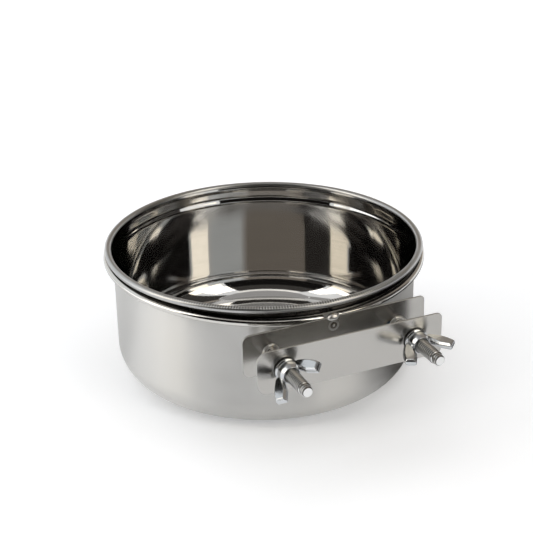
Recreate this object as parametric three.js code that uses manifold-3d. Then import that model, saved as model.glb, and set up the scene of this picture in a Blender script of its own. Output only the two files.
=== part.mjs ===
// Bolt-on feeding bowl: a drawn steel bowl in a wire hoop, with a two-plate clamp for cage bars.
// Millimetres, +Z up. The origin is the centre of the bowl's flat base, the bowl's axis is Z,
// and the clamp stands out towards -Y.

import * as THREE from 'three';
import { mergeVertices } from 'three/addons/utils/BufferGeometryUtils.js';
import Module from 'manifold-3d';

const wasm = await Module();
wasm.setup();

// Bowl
const bowlHeight = 67.6; // resting face to the top of the rim bead
const wallRadius = 75.1; // outside of the straight wall
const sheetThickness = 0.7;
const cornerRadius = 16; // outside, between wall and base
const footStep = 0.6; // the base outside the foot is pressed up by this
const footStepRun = 1.4; // width of the sloping step
const footInset = 9.7; // from the step out to where the corner starts
const collarStep = 0.9; // the collar stands out from the wall by this
const collarHeight = 6.1; // bottom of the collar to the centre of the bead
const collarStepRun = 1.2; // height of the slope between wall and collar
const beadRadius = 1.65;
const beadLap = 0.3; // the bead's round curls into the outside of the collar by this

// Wire hoop
const wireRadius = 1.75;
const hoopSlack = 0.35; // between the collar and the wire, all round
const hoopDip = 2.8; // the welded ends hang lower than the back by this
const hoopDipSharpness = 3;
const hoopOpening = 6.4; // between the two ends of the wire

// Clamp plates
const plateThickness = 1;
const plateLength = 91.4;
const plateHeight = 20.8;
const plateRise = 1.5; // top edge of the rear plate above the wire's centre at its ends
const rearPlateLean = 1; // degrees, as welded: its right-hand end is the higher one
const frontPlateLean = 0.4; // degrees, as it hangs loose on the bolts
const rearLeftCorner = 3.5;
const rearRightCorner = 2;
const frontLeftCorner = 5.5;
const frontRightCorner = 2.5;
const clampGap = 15.2; // between the plates, for the cage bars
const boltInset = 13.7; // end of a plate to the middle of a bolt
const boltDrop = 0.95; // the bolts lie below the middle of the rear plate by this
const plateHoleClearance = 0.35; // radial, round each bolt

// Bolts
const boltRadius = 3.15; // outside of the quarter-inch thread
const boltLength = 40; // under the head
const boltTipChamfer = 1;
const headOverhang = 3.35; // edge of the head beyond the thread
const headHeight = 3;
const headRim = 0.8; // straight edge of the head below its dome

// Welds
const boltWeldWidth = 1.2;
const boltWeldHeight = 1.5;
const ringWeldDepth = 3.8;
const ringWeldHeight = 3;
const ringWeldBack = 0.15; // centre of the weld behind the back of the rear plate

// Wing nuts
const threadClearance = 0.3; // radial, between bolt and nut
const hubHeight = 6.4;
const hubWall = 0.95; // beyond the bore at the front of the hub
const neckWall = 1.25; // beyond the bore at the neck
const neckHeight = 2.6;
const flangeWall = 2.2; // beyond the bore at the bearing flange
const flangeThickness = 1.2;
const wingThickness = 3.6;
const wingBevel = 1;
const wingHeel = 3.45; // beyond the bore, where the wing's outer edge starts
const wingHeelHeight = 2;
const wingBelly = 8.15; // beyond the bore, where the outer edge would turn if it were straight
const wingBellyHeight = 8;
const wingReach = 9.25; // beyond the bore, to the outer corner
const wingReachHeight = 13.4;
const wingCrown = 5.55; // beyond the bore, to the corner that is furthest from the plate
const wingCrownHeight = 16.8;
const wingThroat = 2.25; // beyond the bore, at the middle of the inner edge
const wingThroatHeight = 11.6;
const wingRootDrop = 0.8; // the inner edge leaves the hub below its front by this
const leftNutTurn = THREE.MathUtils.degToRad(36);
const rightNutTurn = THREE.MathUtils.degToRad(12);

// Pieces that rest on each other keep this gap
const seatGap = 0.3;

// Facets
const bowlSegments = 64;
const cornerSegments = 7;
const beadSegments = 10;
const wireSides = 10;
const hoopSteps = 72;
const boltSegments = 20;
const hubSegments = 24;
const cornerCurveSegments = 5;
const weldSegments = 12;

// Sizes and places that follow from the ones above
const collarRadius = wallRadius + collarStep;
const beadCentreRadius = collarRadius + beadRadius - beadLap;
const beadZ = bowlHeight - beadRadius;
const hoopRadius = collarRadius + hoopSlack + wireRadius;
const hoopReach = beadRadius + wireRadius + seatGap;
const hoopZ = beadZ - Math.sqrt(hoopReach ** 2 - (hoopRadius - beadCentreRadius) ** 2);
const rearPlateBack = -(hoopRadius + wireRadius + seatGap);
const rearPlateFront = rearPlateBack - plateThickness;
const rearPlateTop = hoopZ - hoopDip + plateRise;
const boltX = plateLength / 2 - boltInset;
const boltZ = rearPlateTop - plateHeight / 2 - boltDrop;
const frontPlateBack = rearPlateFront - clampGap;
const frontPlateFront = frontPlateBack - plateThickness;
const plateHoleRadius = boltRadius + plateHoleClearance;
const headRadius = boltRadius + headOverhang;
const boreRadius = boltRadius + threadClearance;

const steel = (name, color, roughness) => new THREE.MeshStandardMaterial({
  name,
  color,
  roughness,
  metalness: 1,
});

const part = new THREE.Group();

function addMesh(name, geometry, material, parent = part) {
  const mesh = new THREE.Mesh(geometry, material);
  mesh.name = name;
  parent.add(mesh);
  return mesh;
}

// A group whose own +Z points out of the clamp, towards -Y, at a bolt
function boltGroup(x, y) {
  const group = new THREE.Group();
  group.position.set(x, y, boltZ);
  group.rotation.x = Math.PI / 2;
  part.add(group);
  return group;
}

function toSolid(geometry) {
  const bare = geometry.index ? geometry.toNonIndexed() : geometry.clone();
  bare.deleteAttribute('normal');
  bare.deleteAttribute('uv');
  const merged = mergeVertices(bare, 1e-4);
  return new wasm.Manifold(new wasm.Mesh({
    numProp: 3,
    vertProperties: new Float32Array(merged.attributes.position.array),
    triVerts: new Uint32Array(merged.index.array),
  }));
}

function toGeometry(solid) {
  const { numProp, vertProperties, triVerts } = solid.getMesh();
  const points = new Float32Array((vertProperties.length / numProp) * 3);
  for (let i = 0; i < points.length / 3; i += 1) {
    points.set(vertProperties.subarray(i * numProp, i * numProp + 3), i * 3);
  }
  const geometry = new THREE.BufferGeometry();
  geometry.setAttribute('position', new THREE.BufferAttribute(points, 3));
  geometry.setIndex(new THREE.BufferAttribute(new Uint32Array(triVerts), 1));
  geometry.computeVertexNormals();
  return geometry;
}

// Points of an arc in the radius and height plane, both ends included
function arc(centreRadius, centreZ, radius, fromDegrees, toDegrees, segments) {
  const points = [];
  for (let i = 0; i <= segments; i += 1) {
    const angle = THREE.MathUtils.degToRad(
      THREE.MathUtils.lerp(fromDegrees, toDegrees, i / segments),
    );
    points.push(new THREE.Vector2(
      centreRadius + radius * Math.cos(angle),
      centreZ + radius * Math.sin(angle),
    ));
  }
  return points;
}

// A ring or a turned solid: a closed profile spun about Z
function turned(profile, segments) {
  const geometry = new THREE.LatheGeometry(profile, segments);
  // LatheGeometry spins about Y, so its Y becomes Z
  geometry.rotateX(Math.PI / 2);
  return geometry;
}

// The bowl: outside from the base up to the bead, round the bead, and down the inside
function bowlGeometry() {
  const point = (radius, z) => new THREE.Vector2(radius, z);
  const cornerCentre = wallRadius - cornerRadius;
  const cornerZ = footStep + cornerRadius;
  const innerCorner = cornerRadius - sheetThickness;
  const stepOut = cornerCentre - footInset;
  const stepIn = stepOut - footStepRun;
  const collarBottom = beadZ - collarHeight;
  const outerMeet = THREE.MathUtils.radToDeg(Math.acos(beadLap / beadRadius - 1));
  const profile = [
    point(0, 0),
    point(stepIn, 0),
    point(stepOut, footStep),
    ...arc(cornerCentre, cornerZ, cornerRadius, -90, 0, cornerSegments),
    point(wallRadius, collarBottom - collarStepRun),
    point(collarRadius, collarBottom),
    ...arc(beadCentreRadius, beadZ, beadRadius, -outerMeet, 180, beadSegments),
    point(collarRadius - sheetThickness, beadZ - beadRadius),
    point(collarRadius - sheetThickness, collarBottom),
    point(wallRadius - sheetThickness, collarBottom - collarStepRun),
    ...arc(cornerCentre, cornerZ, innerCorner, 0, -90, cornerSegments),
    point(stepOut, footStep + sheetThickness),
    point(stepIn, sheetThickness),
    point(0, sheetThickness),
  ];
  return turned(profile, bowlSegments);
}

// The hoop runs round the bowl just under the bead and dips towards its ends at the front
class HoopCurve extends THREE.Curve {
  getPoint(t, target = new THREE.Vector3()) {
    const halfOpening = Math.asin(hoopOpening / 2 / hoopRadius);
    const fromFront = THREE.MathUtils.lerp(halfOpening, 2 * Math.PI - halfOpening, t);
    const dip = hoopDip * ((1 + Math.cos(fromFront)) / 2) ** hoopDipSharpness;
    return target.set(
      hoopRadius * Math.sin(fromFront),
      -hoopRadius * Math.cos(fromFront),
      hoopZ - dip,
    );
  }
}

function hoopGeometry() {
  const section = new THREE.Shape();
  for (let i = 0; i < wireSides; i += 1) {
    const angle = (2 * Math.PI * (i + 0.5)) / wireSides;
    const x = wireRadius * Math.cos(angle);
    const y = wireRadius * Math.sin(angle);
    if (i === 0) {
      section.moveTo(x, y);
    } else {
      section.lineTo(x, y);
    }
  }
  return new THREE.ExtrudeGeometry(section, {
    steps: hoopSteps,
    extrudePath: new HoopCurve(),
  });
}

// A flat strip with rounded corners and two holes, drawn about the bolts' height.
// Its shape's +Y is up, and it is thick towards -Y of the part. It may lean in its own plane,
// about the middle of its top edge, while its holes stay at the bolts.
function plateGeometry(top, leftCorner, rightCorner, lean) {
  const left = -plateLength / 2;
  const right = plateLength / 2;
  const bottom = top - plateHeight;
  const shape = new THREE.Shape();
  shape.moveTo(left + leftCorner, bottom);
  shape.lineTo(right - rightCorner, bottom);
  shape.absarc(right - rightCorner, bottom + rightCorner, rightCorner, -Math.PI / 2, 0, false);
  shape.lineTo(right, top - rightCorner);
  shape.absarc(right - rightCorner, top - rightCorner, rightCorner, 0, Math.PI / 2, false);
  shape.lineTo(left + leftCorner, top);
  shape.absarc(left + leftCorner, top - leftCorner, leftCorner, Math.PI / 2, Math.PI, false);
  shape.lineTo(left, bottom + leftCorner);
  shape.absarc(left + leftCorner, bottom + leftCorner, leftCorner, Math.PI, 1.5 * Math.PI, false);
  const geometry = new THREE.ExtrudeGeometry(shape, {
    depth: plateThickness,
    bevelEnabled: false,
    curveSegments: cornerCurveSegments,
  });
  geometry.translate(0, -top, 0);
  geometry.rotateZ(THREE.MathUtils.degToRad(lean));
  geometry.translate(0, top, 0);
  let plate = toSolid(geometry);
  const drill = new THREE.CylinderGeometry(
    plateHoleRadius,
    plateHoleRadius,
    plateThickness * 3,
    boltSegments,
  );
  drill.rotateX(Math.PI / 2);
  for (const side of [-1, 1]) {
    const placed = drill.clone().translate(side * boltX, 0, plateThickness / 2);
    plate = plate.subtract(toSolid(placed));
  }
  return toGeometry(plate).rotateX(Math.PI / 2);
}

function addPlate(name, top, back, corners, lean) {
  const geometry = plateGeometry(top - boltZ, ...corners, lean);
  const mesh = addMesh(name, geometry, steel(name.replace('_', ' '), 0xbdbcb8, 0.2));
  mesh.position.set(0, back, boltZ);
}

// A bolt with a low domed head: the shank runs from z = 0 under the head to the tip
function boltGeometry() {
  const domeRadius = (headRadius ** 2 + (headHeight - headRim) ** 2)
    / (2 * (headHeight - headRim));
  const domeEdge = THREE.MathUtils.radToDeg(Math.asin(headRadius / domeRadius));
  const dome = arc(0, domeRadius - headHeight, domeRadius, -90, -90 + domeEdge, 4);
  dome[0].x = 0;
  const profile = [
    ...dome,
    new THREE.Vector2(headRadius, 0),
    new THREE.Vector2(boltRadius, 0),
    new THREE.Vector2(boltRadius, boltLength - boltTipChamfer),
    new THREE.Vector2(boltRadius - boltTipChamfer, boltLength),
    new THREE.Vector2(0, boltLength),
  ];
  return turned(profile, boltSegments);
}

// The raised ring of weld where a bolt leaves the rear plate
function boltWeldGeometry() {
  const inner = boltRadius + seatGap;
  const profile = [
    new THREE.Vector2(inner, 0),
    new THREE.Vector2(inner + boltWeldWidth, 0),
    new THREE.Vector2(inner + boltWeldWidth * 0.75, boltWeldHeight * 0.6),
    new THREE.Vector2(inner, boltWeldHeight),
    new THREE.Vector2(inner, 0),
  ];
  return turned(profile, boltSegments);
}

// One wing of a nut: radius runs along the shape's X and the bolt's direction along its Y
function wingGeometry() {
  const root = boreRadius + hubWall / 2;
  const shape = new THREE.Shape();
  shape.moveTo(root, flangeThickness);
  shape.lineTo(boreRadius + wingHeel, wingHeelHeight);
  shape.quadraticCurveTo(
    boreRadius + wingBelly,
    wingBellyHeight,
    boreRadius + wingReach,
    wingReachHeight,
  );
  shape.lineTo(boreRadius + wingCrown, wingCrownHeight);
  shape.lineTo(boreRadius + wingThroat, wingThroatHeight);
  shape.lineTo(root, hubHeight - wingRootDrop);
  shape.closePath();
  const geometry = new THREE.ExtrudeGeometry(shape, {
    depth: wingThickness - 2 * wingBevel,
    bevelThickness: wingBevel,
    bevelSize: wingBevel,
    bevelOffset: -wingBevel,
    bevelSegments: 1,
    curveSegments: cornerCurveSegments,
  });
  geometry.translate(0, 0, wingBevel - wingThickness / 2);
  geometry.rotateX(Math.PI / 2);
  return geometry;
}

function wingNutGeometry() {
  const hub = turned([
    new THREE.Vector2(0, 0),
    new THREE.Vector2(boreRadius + flangeWall, 0),
    new THREE.Vector2(boreRadius + flangeWall, flangeThickness),
    new THREE.Vector2(boreRadius + neckWall, neckHeight),
    new THREE.Vector2(boreRadius + hubWall, hubHeight),
    new THREE.Vector2(0, hubHeight),
  ], hubSegments);
  const bore = new THREE.CylinderGeometry(boreRadius, boreRadius, hubHeight * 3, hubSegments);
  bore.rotateX(Math.PI / 2);
  const wing = wingGeometry();
  const solid = toSolid(hub)
    .add(toSolid(wing))
    .add(toSolid(wing.clone().rotateZ(Math.PI)))
    .subtract(toSolid(bore));
  return toGeometry(solid);
}

// The nugget that joins the wire's ends and the plate: an ellipsoid cut clear of the plate
function ringWeldGeometry() {
  const ringWeldLength = hoopOpening - 2 * seatGap;
  const nugget = new THREE.SphereGeometry(1, weldSegments * 2, weldSegments);
  nugget.scale(ringWeldLength / 2, ringWeldDepth / 2, ringWeldHeight / 2);
  nugget.translate(0, rearPlateBack + ringWeldBack, rearPlateTop);
  const cutDepth = plateThickness + 2 * seatGap;
  const cut = new THREE.BoxGeometry(plateLength, cutDepth, plateHeight + seatGap);
  cut.translate(
    0,
    rearPlateFront + plateThickness / 2,
    rearPlateTop + seatGap - (plateHeight + seatGap) / 2,
  );
  return toGeometry(toSolid(nugget).subtract(toSolid(cut)));
}

addMesh('bowl', bowlGeometry(), steel('polished bowl', 0xc9c8c4, 0.18));
addMesh('holder_ring', hoopGeometry(), steel('bright wire', 0xb9b7b2, 0.22));
addMesh('ring_weld', ringWeldGeometry(), steel('weld metal', 0xa9a7a2, 0.35));

addPlate(
  'rear_plate',
  rearPlateTop,
  rearPlateBack,
  [rearLeftCorner, rearRightCorner],
  rearPlateLean,
);
addPlate(
  'front_plate',
  boltZ + plateHeight / 2,
  frontPlateBack,
  [frontLeftCorner, frontRightCorner],
  frontPlateLean,
);

for (const [side, x, turn] of [['left', -boltX, leftNutTurn], ['right', boltX, rightNutTurn]]) {
  const bolt = boltGroup(x, rearPlateBack + seatGap);
  addMesh(`${side}_bolt`, boltGeometry(), steel(`${side} plated thread`, 0xd2d2d0, 0.25), bolt);
  const weld = boltGroup(x, rearPlateFront - seatGap);
  addMesh(`${side}_bolt_weld`, boltWeldGeometry(), steel(`${side} weld`, 0x9d9a94, 0.4), weld);
  const seat = boltGroup(x, frontPlateFront - seatGap);
  const nut = addMesh(
    `${side}_wing_nut`,
    wingNutGeometry(),
    steel(`${side} cast nut`, 0xbfbeb9, 0.25),
    seat,
  );
  nut.rotation.z = turn;
}

export default part;
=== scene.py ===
"""Bolt-on feeding bowl: the looks of its packed CAD frame. An add-on that is run as a script.

Every piece is built in metres in the part's own frame: +Z up along the bowl's axis, and the clamp
towards -Y. Each one rides on a CAD body and stands for the plainer CAD node that it refines.
"""

from math import acos, asin, atan2, ceil, cos, degrees, pi, radians, sin, tan

import bmesh
import bpy
from bmesh.types import BMEdge, BMVert
from bpy.props import FloatProperty, FloatVectorProperty, IntProperty, PointerProperty
from bpy.types import Node, NodeSocket, Operator, Panel, PropertyGroup, Scene
from mathutils import Matrix, Quaternion, Vector, noise


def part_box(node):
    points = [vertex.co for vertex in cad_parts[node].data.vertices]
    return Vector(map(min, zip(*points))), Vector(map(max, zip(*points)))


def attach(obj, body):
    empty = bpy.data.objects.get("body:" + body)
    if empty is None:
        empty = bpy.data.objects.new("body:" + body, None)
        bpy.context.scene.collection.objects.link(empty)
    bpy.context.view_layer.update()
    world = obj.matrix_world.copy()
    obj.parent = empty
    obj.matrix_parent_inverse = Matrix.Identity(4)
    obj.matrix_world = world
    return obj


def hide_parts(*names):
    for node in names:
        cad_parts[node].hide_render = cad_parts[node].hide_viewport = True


bl_info = {
    "name": "Bolt-on bowl",
    "version": (1, 0, 0),
    "blender": (4, 5, 0),
    "location": "3D View > Sidebar > Bowl",
    "description": "Builds a steel feeding bowl, its wire hoop and its cage clamp",
    "category": "Add Mesh",
}

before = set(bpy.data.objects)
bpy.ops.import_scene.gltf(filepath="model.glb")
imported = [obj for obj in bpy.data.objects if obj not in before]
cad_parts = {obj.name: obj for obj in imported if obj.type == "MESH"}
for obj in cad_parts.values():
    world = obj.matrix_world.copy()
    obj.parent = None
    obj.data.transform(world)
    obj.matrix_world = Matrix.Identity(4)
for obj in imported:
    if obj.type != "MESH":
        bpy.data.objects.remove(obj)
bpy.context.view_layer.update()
BOWL_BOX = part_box("bowl")
REAR_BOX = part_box("rear_plate")
FRONT_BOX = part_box("front_plate")
LEFT_BOLT_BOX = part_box("left_bolt")
RIGHT_BOLT_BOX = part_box("right_bolt")
LEFT_NUT_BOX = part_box("left_wing_nut")

WHITE = (1, 1, 1, 1)
# A weld or a ring of painted shade is set this far into the face that it sits on
SUNK = 0.0002


def length(name, description, default):
    """A size in metres that a user may change."""
    return FloatProperty(
        name=name, description=description, default=default, unit="LENGTH", precision=5
    )


def angle(name, description, in_degrees):
    """An angle that a user may change."""
    turn = radians(in_degrees)
    return FloatProperty(name=name, description=description, default=turn, subtype="ANGLE")


def srgb(code):
    """Turns an sRGB hex value into the linear colour that a socket takes."""
    channels = [int(code[i : i + 2], 16) / 255 for i in (1, 3, 5)]
    return [c / 12.92 if c <= 0.04045 else ((c + 0.055) / 1.055) ** 2.4 for c in channels]


def colour(name, description, code):
    """A colour that a user may change, given as an sRGB hex value."""
    return FloatVectorProperty(
        name=name, description=description, default=srgb(code), subtype="COLOR", min=0, max=1
    )


class BowlSizes(PropertyGroup):
    """The drawn sheet-steel bowl."""

    height: length("Height", "Base to the top of the rim bead", BOWL_BOX[1].z)
    wall_radius: length("Wall radius", "Outside of the straight wall", 0.0751)
    sheet: length("Sheet", "Thickness of the steel", 0.0007)
    corner_radius: length("Corner radius", "Outside, between wall and base", 0.016)
    foot_step: length("Foot step", "The base outside the foot is pressed up by this", 0.0006)
    foot_run: length("Foot run", "Width of the sloping step", 0.0014)
    foot_inset: length("Foot inset", "From the step out to where the corner starts", 0.0097)
    foot_ease: length("Foot ease", "Inside, the step reaches this much further each way", 0.001)
    foot_soften: length("Foot rounding", "Rounding of the foot's step", 0.0007)
    collar_step: length("Collar step", "The collar stands out from the wall by this", 0.0009)
    collar_height: length("Collar height", "Bottom of the collar to the bead's centre", 0.0061)
    collar_run: length("Collar run", "Height of the slope between wall and collar", 0.0024)
    collar_soften: length("Collar rounding", "Rounding of the slope to the collar", 0.0011)
    bead_radius: length("Bead radius", "Round of the rolled rim", 0.00165)
    bead_lap: length("Bead lap", "The bead curls into the collar by this", 0.0003)
    segments: IntProperty(name="Segments", description="Round the bowl", default=256)
    ripples: IntProperty(
        name="Ripples", description="Marks of the rolling tool round the rim", default=390
    )


class HoopSizes(PropertyGroup):
    """The wire hoop and the weld that closes it."""

    wire_radius: length("Wire radius", "Half of the wire's thickness", 0.00175)
    radius: length("Hoop radius", "To the middle of the wire", 0.07808)
    height: length("Height", "Middle of the wire at the back", 0.062327)
    dip: length("Dip", "The welded ends hang lower than the back by this", 0.0028)
    dip_sharpness: FloatProperty(
        name="Dip sharpness", description="Higher keeps the dip nearer the front", default=3
    )
    opening: length("Opening", "Between the two ends of the wire", 0.0072)
    opening_shift: length("Opening shift", "Middle of the opening, to the left", 0.0015)
    weld_shift: length("Weld shift", "Middle of the weld, to the left", 0.0011)
    weld_length: length("Weld length", "Along the wire", 0.006)
    weld_depth: length("Weld depth", "Front to back", 0.0038)
    weld_height: length("Weld height", "Top to bottom", 0.0034)


class ClampSizes(PropertyGroup):
    """The two strips and the spot weld's mark."""

    length: length("Strip length", "End to end", 0.0914)
    height: length("Strip height", "Top to bottom", 0.0208)
    thickness: length("Strip thickness", "Of both strips", REAR_BOX[1].y - REAR_BOX[0].y)
    rear_top: length("Rear top edge", "Height of its middle", 0.061027)
    front_top: length("Front top edge", "Height of its middle", 0.060077)
    rear_lean: angle("Rear lean", "As welded, right-hand end up", 1)
    front_lean: angle("Front lean", "As it hangs on the bolts", 0.4)
    rear_left_corner: length("Rear left corners", "Radius", 0.0035)
    rear_right_corner: length("Rear right corners", "Radius", 0.002)
    front_left_corner: length("Front left corners", "Radius", 0.0055)
    front_right_corner: length("Front right corners", "Radius", 0.0025)
    hole_radius: length("Hole radius", "Round each bolt", 0.0035)
    edge_rounding: length("Edge rounding", "Of the sheared edges", 0.00018)
    spot_x: length("Spot weld, across", "Middle of the mark", -0.0009)
    spot_z: length("Spot weld, height", "Middle of the mark", 0.0566)
    spot_radius: length("Spot weld radius", "Of the electrode's print", 0.0028)


class BoltSizes(PropertyGroup):
    """The quarter-inch bolts and the welds that hold them."""

    spacing: length("Spacing", "Middle of the clamp to a bolt", RIGHT_BOLT_BOX[1].x - 0.0065)
    height: length("Height", "Of both bolts", 0.049677)
    radius: length("Radius", "Outside of the thread", 0.00315)
    root_radius: length("Root radius", "Bottom of the thread", 0.00248)
    pitch: length("Pitch", "Twenty threads to the inch", 0.00127)
    length: length("Length", "Under the head", 0.04)
    nose_radius: length("Nose radius", "Plain end of the bolt", 0.0026)
    nose_length: length("Nose length", "Plain end of the bolt", 0.0030)
    nose_chamfer: length("Nose chamfer", "At the very end", 0.0005)
    head_radius: length("Head radius", "Edge of the dome", 0.0065)
    head_height: length("Head height", "Under the dome", 0.003)
    head_rim: length("Head rim", "Straight edge below the dome", 0.0008)
    weld_width: length("Weld width", "Beyond the thread", 0.001)
    weld_height: length("Weld height", "Off the strip", 0.0008)
    turn_steps: IntProperty(name="Turn steps", description="Facets in a turn", default=32)


class NutSizes(PropertyGroup):
    """The cast wing nuts."""

    bore: length("Bore", "Radius, over the bolt", 0.00345)
    hub_height: length("Hub height", "Along the bolt", 0.0064)
    hub_wall: length("Hub wall", "At the front, beyond the bore", 0.00095)
    neck_wall: length("Neck wall", "Beyond the bore", 0.00125)
    neck_height: length("Neck height", "Off the strip", 0.0026)
    flange_wall: length("Flange wall", "Beyond the bore", 0.0022)
    flange_height: length("Flange height", "Straight edge of the flange", 0.0012)
    wing_thickness: length("Wing thickness", "Across", 0.0036)
    wing_bevel: length("Wing bevel", "Chamfer along its long edges", 0.001)
    grain: length("Grain", "Finest detail of the casting", 0.00018)
    left_turn: angle("Left turn", "How the left nut stands", 36)
    right_turn: angle("Right turn", "How the right nut stands", 12)


class FinishColours(PropertyGroup):
    """Colours of the metals."""

    polished: colour("Polished sheet", "Inside of the bowl", "#D2D1CF")
    satin: colour("Satin sheet", "Outside of the bowl", "#D0CFCC")
    rim: colour("Rolled rim", "The bead", "#BDBDBC")
    wire: colour("Wire", "Bright drawn wire", "#CFCDC9")
    strip: colour("Strip", "Cold-rolled strip", "#B3B1AD")
    thread: colour("Thread", "Rolled thread", "#E2E2E1")
    edge: colour("Sheared edge", "Of the strips", "#B5B4B1")
    # Painted shade: this dark colour stands for the shade in the thread's grooves
    root: colour("Thread root", "Painted shade in the grooves", "#6A6763")
    # Painted shade: a black ring that stands for the shade in the gap under each nut
    painted_shade: colour("Seat shade", "Under the nuts", "#141210")
    casting: colour("Casting", "Tumbled casting", "#C5C7C9")
    weld: colour("Weld", "Bare weld metal", "#D2D1CE")
    # Painted shade on the outside band under the rim
    under_rim_shade: colour("Shade under the rim", "Outside, under the rim", "#4A4846")
    burnt: colour("Burnt ring", "Round the spot weld's pip", "#6A665F")
    straw: colour("Straw tint", "Cooler edge of the heat tint", "#B8AC96")
    blue: colour("Blue tint", "Hotter part of the heat tint", "#2F5878")


class StageSettings(PropertyGroup):
    """Camera, floor and light."""

    azimuth: angle("Azimuth", "Of the camera round the bowl", -23)
    elevation: angle("Elevation", "Of the camera above the floor", 28.61)
    distance: length("Distance", "Camera to the base", 0.6899)
    aim_right: length("Aim, right", "Of the base's centre", 0.00127)
    aim_up: length("Aim, up", "Of the base's centre", 0.04723)
    roll: angle("Roll", "Of the camera", -1.04)
    lens: FloatProperty(name="Lens", description="Focal length", default=89.4, unit="CAMERA")
    floor: colour("Floor", "Pale table", "#F2F4F8")
    shade: colour("Shade", "Of the table on the bowl's right, in the metal", "#1C1B1A")
    floor_radius: length("Floor radius", "Of the table", 1.2)
    room_radius: length("Room radius", "Table's middle to the cards of light", 1.6)


# Shaping


def only(kind, geom):
    """Those of an operator's results that are of one kind."""
    return [item for item in geom if isinstance(item, kind)]


def trace(bm, points, vert=None):
    """Draws a profile through points of radius and height, on from a vertex where one is given."""
    made = []
    for radius, height in points:
        if vert is None:
            vert = bm.verts.new((radius, 0, height))
        else:
            vert = bmesh.ops.extrude_vert_indiv(bm, verts=[vert])["verts"][0]
            vert.co = (radius, 0, height)
        made.append(vert)
    return made


def trace_arc(bm, vert, radius, height, by, steps):
    """Spins a profile's last vertex about a centre by some degrees, and returns the new one."""
    centre, axis, by = (radius, 0, height), (0, -1, 0), radians(by)
    made = bmesh.ops.spin(bm, geom=[vert], cent=centre, axis=axis, angle=by, steps=steps)
    return only(BMVert, made["geom_last"])[0]


def spin(bm, by, steps, axis=(0, 0, 1), **more):
    """Spins a whole profile about the upright axis."""
    geom = bm.verts[:] + bm.edges[:]
    bmesh.ops.spin(bm, geom=geom, cent=(0, 0, 0), axis=axis, angle=by, steps=steps, **more)


def lathe(bm, segments):
    """Spins a profile once round and closes the seam and the poles."""
    spin(bm, 2 * pi, segments, use_merge=True)
    tidy(bm)


def turned(section, segments):
    """A shape that is spun once round from its section."""
    bm = bmesh.new()
    trace(bm, section)
    lathe(bm, segments)
    return bm


def bevel(bm, geom, offset, segments, affect="EDGES"):
    """Rounds edges or corners, or chamfers them where it has one segment."""
    bmesh.ops.bevel(
        bm,
        geom=geom,
        offset=offset,
        offset_type="OFFSET",
        segments=segments,
        profile=0.5,
        affect=affect,
        material=-1,
    )


def turn(bm, by, axis, verts=None, centre=(0, 0, 0)):
    """Turns a shape, or some of it, about a line along an axis."""
    matrix = Matrix.Rotation(by, 3, axis)
    bmesh.ops.rotate(bm, verts=verts or bm.verts, cent=centre, matrix=matrix)


def thicken(bm, depth):
    """Extrudes a flat shape along Y."""
    made = bmesh.ops.extrude_face_region(bm, geom=bm.faces[:])["geom"]
    bmesh.ops.translate(bm, verts=only(BMVert, made), vec=(0, depth, 0))
    tidy(bm)


def tidy(bm, distance=2e-6):
    """Merges doubled vertices, then turns all faces outwards."""
    bmesh.ops.remove_doubles(bm, verts=bm.verts, dist=distance)
    bmesh.ops.dissolve_degenerate(bm, edges=bm.edges, dist=distance / 10)
    bmesh.ops.recalc_face_normals(bm, faces=bm.faces)


def stand_at_bolt(bm, x, y, z, by=0):
    """Turns a shape made along +Z so that it points along a bolt, and puts it there."""
    place = Matrix.Translation((x, y, z)) @ Matrix.Rotation(pi / 2, 4, "X")
    bmesh.ops.transform(bm, verts=bm.verts, matrix=place @ Matrix.Rotation(by, 4, "Z"))


def new_object(bm, name, materials):
    """Makes an object of a bmesh and puts it in the scene."""
    mesh = bpy.data.meshes.new(name)
    bm.to_mesh(mesh)
    bm.free()
    for material in materials:
        mesh.materials.append(material)
    made = bpy.data.objects.new(name, mesh)
    bpy.context.scene.collection.objects.link(made)
    return made


def make_piece(bm, name, body, nodes, materials, sharp=30):
    """Makes a piece from a bmesh: it rides on a body and stands for its CAD nodes."""
    old = bpy.data.objects.get(name)
    if old is not None:
        bpy.data.objects.remove(old)
    for face in bm.faces:
        face.smooth = True
    piece = new_object(bm, name, materials)
    piece.data.set_sharp_from_angle(angle=radians(sharp))
    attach(piece, body)
    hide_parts(*nodes)
    return piece


def keep_flats(piece):
    """Lets each large face keep its own normal, so only the rounded corners bend a reflection."""
    even = piece.modifiers.new("Even flats", "WEIGHTED_NORMAL")
    even.keep_sharp = True
    even.weight = 100


# Finishes


def add_node(tree, kind, inputs=None, stops=(), **settings):
    """Adds one node. An input is a value, a socket, or a node, which gives its first output.

    Stops are the places and colours of a colour ramp. Map Range's inputs 1 to 4 are its From Min,
    From Max, To Min and To Max. A noise's scale is one over the size of its spots in metres.
    """
    node = tree.nodes.new("ShaderNode" + kind)
    for name, value in settings.items():
        setattr(node, name, value)
    for name, value in (inputs or {}).items():
        if isinstance(value, Node):
            value = value.outputs[0]
        if isinstance(value, NodeSocket):
            tree.links.new(value, node.inputs[name])
        else:
            node.inputs[name].default_value = value
    for number, (place, paint) in enumerate(stops):
        ramp = node.color_ramp.elements
        stop = ramp[number] if number < 2 else ramp.new(place)
        stop.position = place
        stop.color = (*paint, 1)
    return node


def new_tree(name):
    """A material of this name, and its node tree, which is empty."""
    material = bpy.data.materials.get(name) or bpy.data.materials.new(name)
    material.use_nodes = True
    material.node_tree.nodes.clear()
    return material, material.node_tree


def new_finish(name):
    """An empty material, its tree, its Object coordinates and the metals' colours."""
    material, tree = new_tree(name)
    place = add_node(tree, "TexCoord").outputs["Object"]
    return material, tree, place, bpy.context.scene.bowl_colours


def bare_metal(material, tree, inputs):
    """Ends a finish with its shader, and returns its material."""
    shader = add_node(tree, "BsdfPrincipled", {"Metallic": 1.0, **inputs})
    add_node(tree, "OutputMaterial", {"Surface": shader})
    return material


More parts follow.
